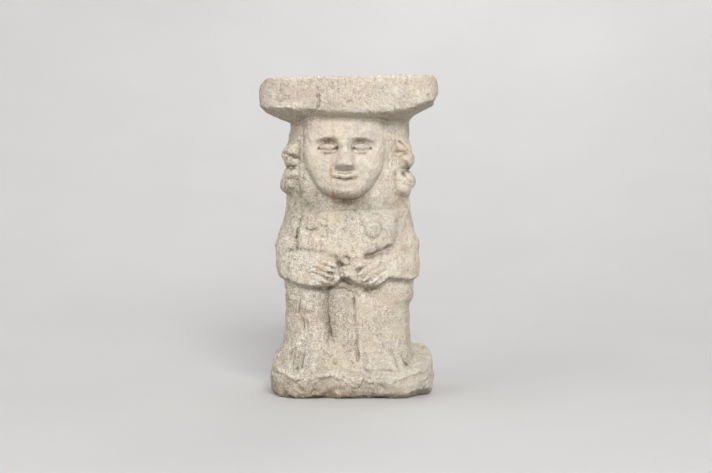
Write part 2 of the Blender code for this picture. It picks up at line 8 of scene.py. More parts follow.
import bpy
import numpy as np
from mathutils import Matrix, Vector


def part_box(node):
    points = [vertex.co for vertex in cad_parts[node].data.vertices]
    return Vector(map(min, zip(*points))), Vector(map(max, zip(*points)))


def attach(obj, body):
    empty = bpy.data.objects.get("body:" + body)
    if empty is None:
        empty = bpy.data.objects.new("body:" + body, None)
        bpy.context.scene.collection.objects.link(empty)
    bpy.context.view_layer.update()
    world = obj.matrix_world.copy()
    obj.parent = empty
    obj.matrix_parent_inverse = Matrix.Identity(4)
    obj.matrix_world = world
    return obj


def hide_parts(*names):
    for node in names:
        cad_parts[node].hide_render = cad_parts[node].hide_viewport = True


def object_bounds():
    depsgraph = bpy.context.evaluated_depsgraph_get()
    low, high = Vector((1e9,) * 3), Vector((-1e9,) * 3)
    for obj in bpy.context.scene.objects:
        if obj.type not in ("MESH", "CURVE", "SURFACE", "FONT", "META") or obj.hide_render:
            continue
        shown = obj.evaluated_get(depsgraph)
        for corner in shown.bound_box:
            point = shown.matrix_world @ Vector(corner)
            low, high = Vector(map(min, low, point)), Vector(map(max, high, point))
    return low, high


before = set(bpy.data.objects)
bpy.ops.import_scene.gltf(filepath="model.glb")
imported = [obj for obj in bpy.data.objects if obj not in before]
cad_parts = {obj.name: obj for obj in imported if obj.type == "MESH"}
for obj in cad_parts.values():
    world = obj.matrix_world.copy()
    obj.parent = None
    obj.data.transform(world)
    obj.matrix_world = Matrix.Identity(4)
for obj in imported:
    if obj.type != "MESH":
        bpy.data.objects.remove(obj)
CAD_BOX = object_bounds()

# ---- Driving dimensions of the carved form, as in the solid -------------------------------
HEIGHT = 0.360  # floor to the top of the slab
SLAB_WIDTH = 0.1998
SLAB_DEPTH = 0.150
SLAB_CORNER = 0.026
SLAB_TOP = 0.3583  # the slab's top above the middle line
TOP_RISE = 0.019  # how fast the top climbs towards +X
RIM_TILT = 0.060  # how fast the underside climbs towards the back
UNDERCUT = np.radians(18.0)  # how steeply the underside slopes in to the head
BASE_WIDTH = 0.184
BASE_DEPTH = 0.146
BASE_OFFSET = 0.0045  # the base stands a little towards +X
FACE_WIDTH = 0.096
FACE_OFFSET = -0.0035  # the face looks out a little towards -X of the block's middle
CHIN = 0.2215
FACE_HEIGHT = 0.105  # chin to hairline, which the slab hides
MOUTH = CHIN + 0.65 * FACE_HEIGHT / 3  # where the closed lips meet
WEAR = 0.0006  # how far weathering waves the skin in and out
ROUGH_BASE = 0.0009  # and how much more the hewn base wanders
BASE_CORNER = 0.040
RIDGE_TILT = 0.042  # how fast the chest's top edge climbs towards +X
BLOCK_TOP = 0.338  # the body's core ends inside the slab
SLOPE_FOOT = 0.302  # the slab's sloping underside meets the head above this
UNDERSIDE = -0.003  # the carved stone goes this far under the floor, and is then cut flat
ARM_LIFT = 0.0110  # how far the forearms stand out of the body
HAND = 0.0006  # how far the carver's long cuts waver

SKIN_COLUMNS = 292
SKIN_ROWS = 338
FULL_TURN = 2 * np.pi


# ---- Distance tools -----------------------------------------------------------------------
def metres(table):
    """A table's numbers, which are in millimetres, as metres."""
    return np.array(table) / 1000


def soft_min(a, b, blend):
    """The lower of two distances, with a fillet about blend wide where they cross."""
    near = np.maximum(blend - np.abs(a - b), 0.0) / blend
    return np.minimum(a, b) - near * near * blend / 4


def soft_max(a, b, blend):
    """The higher of two distances, with a round about blend wide where they cross."""
    return -soft_min(-a, -b, blend)


def step(value, low, high):
    """0 below low, 1 above high and smooth between them. low may be above high."""
    t = np.clip((value - low) / (high - low), 0.0, 1.0)
    return t * t * (3 - 2 * t)


def window(value, start, full, last, end):
    """1 from full to last, and smooth down to 0 at start and at end."""
    return step(value, start, full) * step(value, end, last)


def mound(value, middle, width):
    """1 at the middle, fading to nothing about two widths away on both sides."""
    return np.exp(-(((value - middle) / width) ** 2))


def profile(value, stations):
    """A smooth curve through (place, size) stations that never swings past them."""
    places, sizes = metres(stations).T
    gaps = np.diff(places)
    climb = np.diff(sizes) / gaps
    before, after = climb[:-1], climb[1:]
    level = before * after <= 0
    middle = 2 * before * after / np.where(level, 1.0, before + after)
    slopes = np.concatenate([[0.0], np.where(level, 0.0, middle), [0.0]])
    i = np.clip(np.searchsorted(places, value) - 1, 0, len(gaps) - 1)
    t = np.clip((value - places[i]) / gaps[i], 0.0, 1.0)
    rise = t * t * (3 - 2 * t)
    bend = t * (1 - t) * gaps[i] * (slopes[i] * (1 - t) - slopes[i + 1] * t)
    return sizes[i] * (1 - rise) + sizes[i + 1] * rise + bend


def plan_outline(x, y, half_x, half_y, corner):
    """Distance in plan to a rectangle with round corners."""
    qx, qy = np.abs(x) - half_x + corner, np.abs(y) - half_y + corner
    outside = np.hypot(np.maximum(qx, 0.0), np.maximum(qy, 0.0))
    return outside + np.minimum(np.maximum(qx, qy), 0.0) - corner


def ellipsoid(x, y, z, centre, radii):
    """Near enough the distance to an ellipsoid: its scaled distance over that distance's slope."""
    u, v, w = (x - centre[0]) / radii[0], (y - centre[1]) / radii[1], (z - centre[2]) / radii[2]
    scaled = np.sqrt(u * u + v * v + w * w)
    slope = np.sqrt((u / radii[0]) ** 2 + (v / radii[1]) ** 2 + (w / radii[2]) ** 2)
    return scaled * (scaled - 1.0) / np.maximum(slope, 1e-9)


def limb(x, y, z, start, end, thick, flat=1.0):
    """A round-ended limb from start to end. thick holds its radius at each end, and flat scales
    it along Y."""
    px, py, pz = x - start[0], (y - start[1]) / flat, z - start[2]
    dx, dy, dz = end[0] - start[0], (end[1] - start[1]) / flat, end[2] - start[2]
    along = np.clip((px * dx + py * dy + pz * dz) / (dx * dx + dy * dy + dz * dz), 0.0, 1.0)
    radius = thick[0] + (thick[1] - thick[0]) * along
    away = np.sqrt((px - dx * along) ** 2 + (py - dy * along) ** 2 + (pz - dz * along) ** 2)
    return (away - radius) * min(1.0, flat)


def cut(x, z, start, end, width, depth):
    """A cut from start to end, both (x, z): depth along its middle, fading over width."""
    px, pz, dx, dz = x - start[0], z - start[1], end[0] - start[0], end[1] - start[1]
    along = np.clip((px * dx + pz * dz) / (dx * dx + dz * dz), 0.0, 1.0)
    return depth * mound(np.hypot(px - dx * along, pz - dz * along), 0.0, width)


def groove(x, z, line, width, depth):
    """A cut along a line, given as x, z, x, z and so on, no deeper where its stretches meet."""
    places = np.reshape(line, (-1, 2))
    stretches = [cut(x, z, start, end, width, depth) for start, end in zip(places, places[1:])]
    return np.maximum.reduce(stretches)


def deepest(x, z, table):
    """How deep the deepest groove is at each place. A row of the table is one groove: its width,
    its depth and then its line."""
    return np.maximum.reduce([groove(x, z, line, width, deep)
                              for width, deep, *line in map(metres, table)])


def waves(x, y, z, seed, length, count):
    """Seeded long waves through space, from -1 to 1, about length apart."""
    random = np.random.default_rng(seed)
    total = 0.0
    for _ in range(count):
        way = random.normal(size=3)
        way *= FULL_TURN / (length * random.uniform(0.6, 2.2) * np.linalg.norm(way))
        phase = random.uniform(0, FULL_TURN)
        total = total + np.sin(way[0] * x + way[1] * y + way[2] * z + phase)
    return total / np.sqrt(count)


# ---- The carved forms ---------------------------------------------------------------------
def block(x, y, z):
    """The body's core, from the feet to the slab: round-cornered, its sizes set by height."""
    minus_side = profile(z, (
        (0, 78), (45, 77.5), (63, 74.5), (82, 73), (101, 72), (125, 72.5), (165, 70), (200, 70),
        (222, 71.5), (245, 70), (280, 68.5), (310, 66.5), (345, 67)))
    plus_side = profile(z, (
        (0, 78), (45, 76.5), (63, 72.5), (82, 71), (99, 70.5), (113, 75.5), (125, 75.5), (165, 70),
        (200, 69), (222, 71), (245, 70), (280, 70.5), (310, 71), (345, 71.5)))
    front = profile(z - RIDGE_TILT * x, (
        (0, 53), (60, 52), (110, 52.5), (126, 50), (165, 50), (198, 51), (207.8, 52.2), (211.2, 47),
        (222, 44), (245, 44.5), (300, 47), (345, 48)))
    back = profile(z, (
        (0, 54), (60, 55), (110, 62), (150, 57), (185, 59), (215, 56), (250, 60), (300, 57),
        (345, 57)))
    corner = profile(z, (
        (0, 36), (110, 32), (160, 24), (205, 24), (230, 32), (345, 32)))
    corner = corner + 0.012 * step(y, -0.005, 0.02)
    middle_x, middle_y = (plus_side - minus_side) / 2, (back - front) / 2
    half_x, half_y = (minus_side + plus_side) / 2, (front + back) / 2
    sides = plan_outline(x - middle_x, y - middle_y, half_x, half_y, corner)
    return np.maximum(sides, z - BLOCK_TOP)


def slab(x, y, z):
    """The slab she carries: a thick board, thinner towards +X, over a sloping underside."""
    outline = plan_outline(x, y, SLAB_WIDTH / 2, SLAB_DEPTH / 2, SLAB_CORNER)
    over = z - SLAB_TOP - TOP_RISE * x
    rim = profile(x, (
        (-120, 327), (-95, 323.5), (-65, 321), (-34, 320.3), (-16, 317.5), (20, 316.5), (45, 318),
        (66, 320.5), (80, 327.5), (100, 332), (120, 335)))
    under = rim + RIM_TILT * (y + SLAB_DEPTH / 2) - z
    board = soft_max(soft_max(outline, over, 0.007), under, 0.003)
    edge = profile(x, (
        (-90, 320), (-34, 322), (-16, 325), (30, 326.2), (58, 327), (70, 323.5), (100, 329)))
    bevel = (-SLAB_DEPTH / 2 - y) * 0.85 + (edge - z) * 0.53
    board = soft_max(board, bevel, 0.0015)
    slope = soft_max(outline * np.sin(UNDERCUT) + under * np.cos(UNDERCUT), outline, 0.006)
    slope = np.maximum(np.maximum(slope, over), SLOPE_FOOT - z)
    round_end = 0.0125
    past = np.maximum(round_end - 0.1 - x, 0.0)
    worn_end = np.hypot(past, np.maximum(over + round_end, 0.0)) - round_end
    blow = cut(x, z, (-0.0324, 0.345), (-0.0324, 0.322), 0.0013, 0.0012) * step(y, -0.05, -0.06)
    board = soft_max(soft_min(board, slope, 0.002) + blow, worn_end, 0.003)
    bevelled_end = (x - 0.0975 + over + 0.003) * np.sqrt(0.5)
    broken_corner = (x - 0.099) * 0.68 + (0.3345 - z) * 0.73
    return soft_max(board, soft_max(bevelled_end, broken_corner, 0.003), 0.003)


def base(x, y, z):
    """The low base: a rough round-cornered plinth whose top climbs to the legs."""
    outline = plan_outline(x - BASE_OFFSET, y + 0.001, BASE_WIDTH / 2, BASE_DEPTH / 2, BASE_CORNER)
    ledge = profile(x, (
        (-90, 33), (-78, 32.5), (-62, 27), (-52, 25), (-34, 27.2), (-14, 29), (4, 25.8), (20, 24),
        (36, 21.8), (51, 22.2), (60, 26.2), (77, 30), (95, 33)))
    back_top = 0.048 + 0.03 * (x - BASE_OFFSET)
    top = ledge + (back_top - ledge) * step(y, -0.08, 0.005)
    front = step(y, -0.035, -0.06)
    worn_foot = 0.008 * step(z, 0.01, -0.002) + front * (
        0.0016 * step(z, ledge - 0.001, ledge - 0.005) + 0.0028 * step(z, 0.02, 0.004))
    return soft_max(outline + worn_foot, (z - top) * 0.93, 0.009 - 0.0065 * front)


def hewn(x, y, z):
    """Flat facets struck off the base's sides by seeded blows: the farthest of the planes that
    stand all round it."""
    random = np.random.default_rng(11)
    straight = np.array([BASE_WIDTH, BASE_DEPTH]) / 2 - BASE_CORNER
    facets = np.full(np.shape(x), -1.0)
    for turn in np.linspace(0.0, FULL_TURN, 15, endpoint=False):
        turn += random.uniform(-0.12, 0.12)
        tilt = random.uniform(-0.55, 0.35)
        out = np.array([np.cos(turn), np.sin(turn)]) * np.cos(tilt)
        up = np.sin(tilt)
        reach = straight @ np.abs(out) + BASE_CORNER * np.cos(tilt) + 0.022 * abs(up)
        reach -= random.uniform(0.001, 0.0035)
        plane = out[0] * (x - BASE_OFFSET) + out[1] * (y + 0.001) + up * (z - 0.017)
        facets = np.maximum(facets, plane - reach)
    return facets


def head(x, y, z):
    """The face's raised shield: straight sides that close to a round chin below eye level, and
    gently domed."""
    half = 0.54 * FACE_HEIGHT
    middle = CHIN + half
    narrow = 1.0 - 0.16 * step(z, middle - 0.004, CHIN)
    u = (x - FACE_OFFSET) / (narrow * FACE_WIDTH / 2)
    w = np.minimum(z - middle, 0.0) / half
    egg = ((np.abs(u) ** 2.4 + np.abs(w) ** 2.4) ** (1 / 2.4) - 1.0) * FACE_WIDTH / 2
    dome = 0.0605 - 0.007 * u * u - 0.002 * w * w
    shield = soft_max(egg, (-y - dome) * 0.95, 0.016)
    return np.maximum(np.maximum(shield, y), z - BLOCK_TOP)


def features(x, z):
    """How far the features stand out of the face: brows, closed lids, nose, cheeks, lips and
    chin, all set out by the thirds of its height and the fifths of its width."""
    x = np.abs(x - FACE_OFFSET)
    third, fifth = FACE_HEIGHT / 3, FACE_WIDTH / 5
    nose_foot, eye = CHIN + third, CHIN + 1.66 * third
    brow = CHIN + 2 * third - 0.003 * (x / (1.8 * fifth)) ** 2
    away = np.hypot((x - fifth) / (0.86 * fifth), (z - eye - 0.0008) / 0.0098)
    sockets = -0.0046 * step(away, 1.2, 0.55)
    brows = 0.0016 * mound(z, brow + 0.001, 0.003) * step(x, 2.0 * fifth, fifth)
    almond = 1.0 - ((x - fifth) / (0.6 * fifth)) ** 2
    lids = 0.0052 * step(almond - ((z - eye) / 0.0066) ** 2, -0.05, 0.85)
    lash_line = eye - 0.003 * np.maximum(almond, 0.0)
    lids = lids - 0.0024 * mound(z, lash_line, 0.0017) * step(almond, -0.15, 0.25)
    fall = step(z, brow + 0.004, nose_foot + 0.003)
    wide = 0.0052 + 0.003 * fall ** 2
    length = step(z, nose_foot - 0.005, nose_foot + 0.005) * step(z, brow + 0.01, brow - 0.01)
    nose = (0.0034 + 0.0074 * fall) * length * mound(np.maximum(x - 0.0016, 0.0), 0.0, wide)
    wings = 0.0042 * mound(x, 0.0076, 0.003) * mound(z, nose_foot + 0.0038, 0.0036)
    cheeks = 0.0028 * mound(x, 1.35 * fifth, 0.0125) * mound(z, nose_foot + 0.003, 0.012)
    parting = MOUTH + 0.0006 - 0.001 * mound(x, 0.0, 0.003) + 0.0012 * (x / 0.013) ** 2
    lips = 0.0032 * mound(z, parting + 0.0036, 0.003) * step(x, 0.0165, 0.006)
    lips = lips + 0.0036 * mound(z, parting - 0.0044, 0.0036) * step(x, 0.015, 0.004)
    lips = lips - 0.0026 * mound(z, parting, 0.0018) * step(x, 0.0175, 0.0125)
    chin = 0.0032 * mound(x, 0.0, 0.0105) * mound(z, CHIN + 0.0105, 0.0068)
    return sockets + brows + lids + nose + wings + cheeks + lips + chin


def ears(x, y, z):
    """Two double knobs down each side of the head: an ear, and the ornament that hangs under it."""
    found = np.inf
    for knob in map(metres, (
            (-63, -23, 276.5, 12, 19, 12.5), (-60, -25, 266.5, 12, 19, 8.5),
            (-64, -24, 242, 13.8, 19, 12.5), (-60, -25, 252, 13, 17, 8.5),
            (61, -24, 281, 12.8, 19, 10), (64.5, -24, 270, 12.6, 19, 12),
            (64, -24, 245, 13.8, 19, 11.5), (59, -27, 235, 13, 17, 10))):
        found = soft_min(found, ellipsoid(x, y, z, *np.split(knob, 2)), 0.0015)
    return found


def upper_arms(x, y, z):
    """Upper arms down the sides: two flattened limbs each, thickest at the elbows."""
    found = np.inf
    for points in (
            ((-0.0585, -0.014, 0.214), (-0.067, -0.018, 0.17), (-0.0668, -0.024, 0.149)),
            ((0.058, -0.014, 0.214), (0.0655, -0.018, 0.17), (0.0662, -0.024, 0.149))):
        shoulder, middle, elbow = points
        upper = limb(x, y, z, shoulder, middle, (0.013, 0.016), flat=1.5)
        lower = limb(x, y, z, middle, elbow, (0.016, 0.0162), flat=1.5)
        found = np.minimum(found, soft_min(upper, lower, 0.004))
    return found


def forearms(x, y, z, core):
    """Both forearms as one flat band bent round the belly, standing ARM_LIFT out of the core,
    with its top and lower edges set by the places across. The hands are slightly raised on it,
    and the broader one, at +X, hangs lower."""
    top = profile(x, (
        (-85, 159), (-71, 162.5), (-44, 163.2), (-27, 160), (-12, 155.2), (6, 153.5), (20, 154.5),
        (36, 160), (50, 165.5), (60, 169), (70, 169), (85, 165)))
    low = profile(x, (
        (-85, 137), (-70, 132.6), (-54, 126.8), (-43, 124.6), (-32, 124.3), (-17, 125.4),
        (-12, 128.2), (-6, 134.2), (2, 134.5), (8, 132.2), (13, 128.6), (22, 124.6), (33, 124.4),
        (41, 128.6), (47, 132.8), (60, 133.2), (73, 131.8), (85, 135)))
    lift = ARM_LIFT - 0.0035 * step(np.abs(x), 0.052, 0.07) - 0.003 * step(z, top - 0.018, top)
    band = soft_max(core - lift, (z - top - 0.003) * 0.92 + core * 0.39, 0.006)
    band = soft_max(soft_max(band, low - z, 0.006), y + 0.004, 0.01)
    minus_hand = ellipsoid(x, y, z, (-0.0225, -0.0515, 0.1425), (0.0165, 0.0125, 0.0165))
    thumb = ellipsoid(x, y, z, (-0.0015, -0.0565, 0.152), (0.0042, 0.0065, 0.0042))
    plus_hand = ellipsoid(x, y, z, (0.02, -0.0505, 0.141), (0.022, 0.0145, 0.017))
    band = soft_min(soft_min(band, minus_hand, 0.005), plus_hand, 0.005)
    band = soft_min(band, thumb, 0.003)
    for knuckle, up, tip, tip_up, thick in map(metres, (
            (-29, 153, -15, 148.2, 2.7), (-33.5, 148.2, -16, 141.8, 2.9),
            (-37, 143.2, -19, 135, 2.9), (-38.5, 137.5, -24, 130.2, 2.6),
            (21.5, 154.2, 8.5, 145.5, 2.7), (27.5, 148.5, 13, 139.2, 3),
            (32.5, 143.2, 17.5, 133, 3), (37, 137, 25, 129, 2.7))):
        finger = limb(x, y, z, (knuckle, -0.06, up), (tip, -0.064, tip_up), (thick, thick))
        band = soft_min(band, finger, 0.0016)
    gap = cut(x, z, (-0.0129, 0.1576), (-0.0084, 0.1487), 0.002, 0.0034)
    return band + gap + cut(x, z, (-0.008, 0.146), (-0.007, 0.139), 0.0034, 0.0026)


def breasts(x, y, z):
    """Two small low discs, each an ellipsoid that the chest all but hides."""
    minus = ellipsoid(x, y, z, (-0.041, -0.0495, 0.1945), (0.0085, 0.006, 0.008))
    plus = ellipsoid(x, y, z, (0.0288, -0.0495, 0.1885), (0.0115, 0.005, 0.011))
    return np.minimum(minus, plus)


def feet(x, y, z):
    """Broad feet, as limbs that slope from the legs to the base's front edge, and their toes."""
    found = limb(x, y, z, (-0.062, -0.034, 0.042), (-0.06, -0.052, 0.03), (0.017, 0.012))
    for side, wide in map(metres, ((-49, 17), (-40, 15), (30, 14), (40, 17), (54, 18))):
        ramp = limb(x, y, z, (side, -0.036, 0.043), (side, -0.055, 0.029), (wide, 0.013))
        found = soft_min(found, ramp, 0.006)
    for knuckle, tip in map(metres, (
            (-57.6, -65), (-50.8, -55.6), (-43, -46.2), (-36.5, -37.5), (24, 23.5),
            (32, 32.5), (40, 42), (47.8, 51.5), (55.2, 62))):
        reach = 7.0 * max(abs(tip) - 0.035, 0.0) ** 2 - 0.068
        nail = (tip, reach + 0.004, 0.0345)
        toe = limb(x, y, z, (knuckle, -0.05, 0.05), nail, (0.0026, 0.0036))
        found = soft_min(found, toe, 0.003)
    return found


def arm_cuts(x, z):
    """How deep the front is cut along the arms, down the inside of both and over the forearms:
    the deepest of the grooves at each place."""
    x, z = x + HAND * np.sin(640.0 * z + 1.0), z + HAND * np.sin(520.0 * x)
    return deepest(x, z, (
        (2.1, 3.6, -53, 206, -56.6, 190.9, -58.2, 179), (2, 2.4, -58.2, 179, -57.4, 167),
        (1.8, 1.1, -70, 164.8, -45.7, 165.7, -27.2, 162.3, -12, 157.3, 6.4, 155.5, 21.6, 156.6),
        (3.6, 3.2, 21.6, 157, 36.7, 162.8, 49, 168.5),
        (3, 2.2, 49, 168.5, 54, 176, 56, 185, 55.6, 196)))


def body_cuts(x, z):
    """How deep the body's front is cut, round the lap and between the legs: the deepest of the
    grooves, and a broad step beside the leg at -X, whose edge is left standing."""
    x, z = x + HAND * np.sin(480.0 * z), z + HAND * np.sin(560.0 * x + 1.0)
    depth = deepest(x, z, (
        (5, 2.2, -9, 131, 4, 129),
        (3.6, 3.4, -27, 116.3, -20.7, 123, -11.8, 125.2, -4, 124.1, 3.8, 120.8, 10.5, 117.4),
        (5, 6, -23.6, 115, -23.6, 98.5, -21.2, 76.2, -17, 60),
        (1.5, 1.4, 6.1, 118.5, 7.2, 98.5, 8.3, 65, 11.7, 40)))
    legs = window(z, 0.04, 0.06, 0.114, 0.124)
    edge = -0.027 + 0.1 * np.maximum(0.1 - z, 0.0)
    lap = step(x, edge - 0.001, edge + 0.0022) * step(x, 0.008, -0.006)
    beside = legs * step(x, edge + 0.0006, edge - 0.0016)
    depth = np.maximum(depth, 0.005 * legs * lap) * (1.0 - beside)
    return depth - 0.0014 * legs * mound(x, edge - 0.003, 0.0028)


def back_cuts(x, z):
    """How deep the back is cut: inside the arms, under the fall of hair and round the waist."""
    depth = np.zeros_like(x)
    for side in (-1, 1):
        depth += cut(x, z, (side * 0.048, 0.196), (side * 0.056, 0.142), 0.0032, 0.003)
        depth += cut(x, z, (0.0, 0.124), (side * 0.07, 0.129), 0.003, 0.0022)
    hem = 0.2 + 5.0 * x * x
    return depth + 0.003 * step(z, hem + 0.003, hem) * step(z, hem - 0.03, hem - 0.002)


def chips(x, y, z):
    """Blows that broke stone away: a hollow under the base's front and nicks round its foot."""
    found = np.inf
    for blow in map(metres, (
            (-42, -79, 7, 22, 10, 6), (-10, -78, 6, 11, 8.5, 9), (18, -81, 6, 20, 7, 4),
            (-98, -70, -2, 26, 26, 12), (104, -66, -3, 36, 38, 14), (78, -20, 102, 7, 30, 6))):
        found = np.minimum(found, ellipsoid(x, y, z, *np.split(blow, 2)))
    return -found


def figure(x, y, z):
    """The whole stone, negative inside and positive outside: the core less its cuts, the forms
    joined to it by soft minima, then long waves, chips and the flat underside."""
    core = block(x, y, z)
    on_front, on_back = step(y, -0.01, -0.03), step(y, 0.01, 0.03)
    stone = core + body_cuts(x, z) * on_front + back_cuts(x, z) * on_back
    foot = soft_max(base(x, y, z), hewn(x, y, z), 0.002)
    stone = soft_min(stone, foot, 0.008 + 0.006 * step(x, 0.05, 0.09))
    stone = soft_min(stone, feet(x, y, z), 0.006)
    arms = soft_min(upper_arms(x, y, z), forearms(x, y, z, core), 0.004)
    stone = soft_min(stone, arms, 0.0035) + arm_cuts(x, z) * on_front
    stone = soft_min(stone, breasts(x, y, z), 0.002)
    stone = soft_min(stone, ears(x, y, z), 0.006)
    face = head(x, y, z) - features(x, z) * step(y, -0.02, -0.03)
    stone = soft_min(stone, face, 0.003)
    stone = soft_min(stone, slab(x, y, z), 0.003)
    rough = ROUGH_BASE * step(z, 0.036, 0.024)
    stone = stone + WEAR * waves(x, y, z, 5, 0.034, 14) + rough * waves(x, y, z, 8, 0.018, 12)
    stone = soft_max(stone, chips(x, y, z), 0.002)
    return soft_max(stone, UNDERSIDE - z, 0.004)


# ---- Grain of the stone -------------------------------------------------------------------
def scatter(i, j, k, seed):
    """A fixed random number from 0 to 1 for each cell of a lattice."""
    mixed = (i * 73856093) ^ (j * 19349663) ^ (k * 83492791) ^ (seed * 2971215073)
    mixed = ((mixed ^ (mixed >> 15)) & 0xFFFFFFFF) * 1274126177
    mixed = ((mixed ^ (mixed >> 17)) & 0xFFFFFFFF) * 739219
    return ((mixed ^ (mixed >> 11)) & 0xFFFF) / 65535.0


def lattice(x, y, z, size):
    """Where each point is in a lattice with cells of this size, and which cell holds it."""
    places = [axis / size for axis in (x, y, z)]
    return places, [np.floor(place).astype(np.int64) for place in places]


def nearby(x, y, z, size, seed):
    """The 27 cells round each point, one by one: the cell, and the way from its scattered point
    to the point, in cells."""
    places, cells = lattice(x, y, z, size)
    for offset in np.ndindex(3, 3, 3):
        cell = [c + o - 1 for c, o in zip(cells, offset)]
        ways = enumerate(zip(places, cell))
        yield cell, [place - c - scatter(*cell, seed + n) for n, (place, c) in ways]


def lumps(x, y, z, size, seed):
    """Smooth random lumps about size across, from -1 to 1: lattice values blended smoothly."""
    places, cells = lattice(x, y, z, size)
    blends = [step(place - cell, 0.0, 1.0) for place, cell in zip(places, cells)]
    total = 0.0
    for corner in np.ndindex(2, 2, 2):
        share = 1.0
        for side, blend in zip(corner, blends):
            share = share * (blend if side else 1.0 - blend)
        total = total + share * scatter(*(cell + side for cell, side in zip(cells, corner)), seed)
    return 2.0 * total - 1.0


def pits(x, y, z, size, seed):
    """Round pits, one to some cells of a lattice: 1 in a pit's middle, 0 outside it."""
    found = np.zeros_like(x)
    for cell, ways in nearby(x, y, z, size, seed):
        radius = 0.1 + 0.5 * scatter(*cell, seed + 5) ** 2
        found = np.maximum(found, 1.0 - sum(way ** 2 for way in ways) / radius ** 2)
    return found


def flakes(x, y, z, size, seed):
    """Small flat faces with ledges between them, as struck stone has, from about -1 to 1: each
    face belongs to the nearest of a lattice's scattered points and leans its own way."""
    nearest, height = np.full_like(x, np.inf), np.zeros_like(x)
    for cell, ways in nearby(x, y, z, size, seed):
        away = sum(way ** 2 for way in ways)
        lean = sum(way * (scatter(*cell, seed + 5 + n) - 0.5) for n, way in enumerate(ways))
        face = 2.4 * lean + 1.2 * (scatter(*cell, seed + 9) - 0.5)
        closer = away < nearest
        nearest, height = np.where(closer, away, nearest), np.where(closer, face, height)
    return height


def strands(across, gap, sharp=3):
    """Grooves a gap apart: 1 in a groove's middle and 0 between them."""
    return (0.5 + 0.5 * np.cos(FULL_TURN * across / gap)) ** sharp


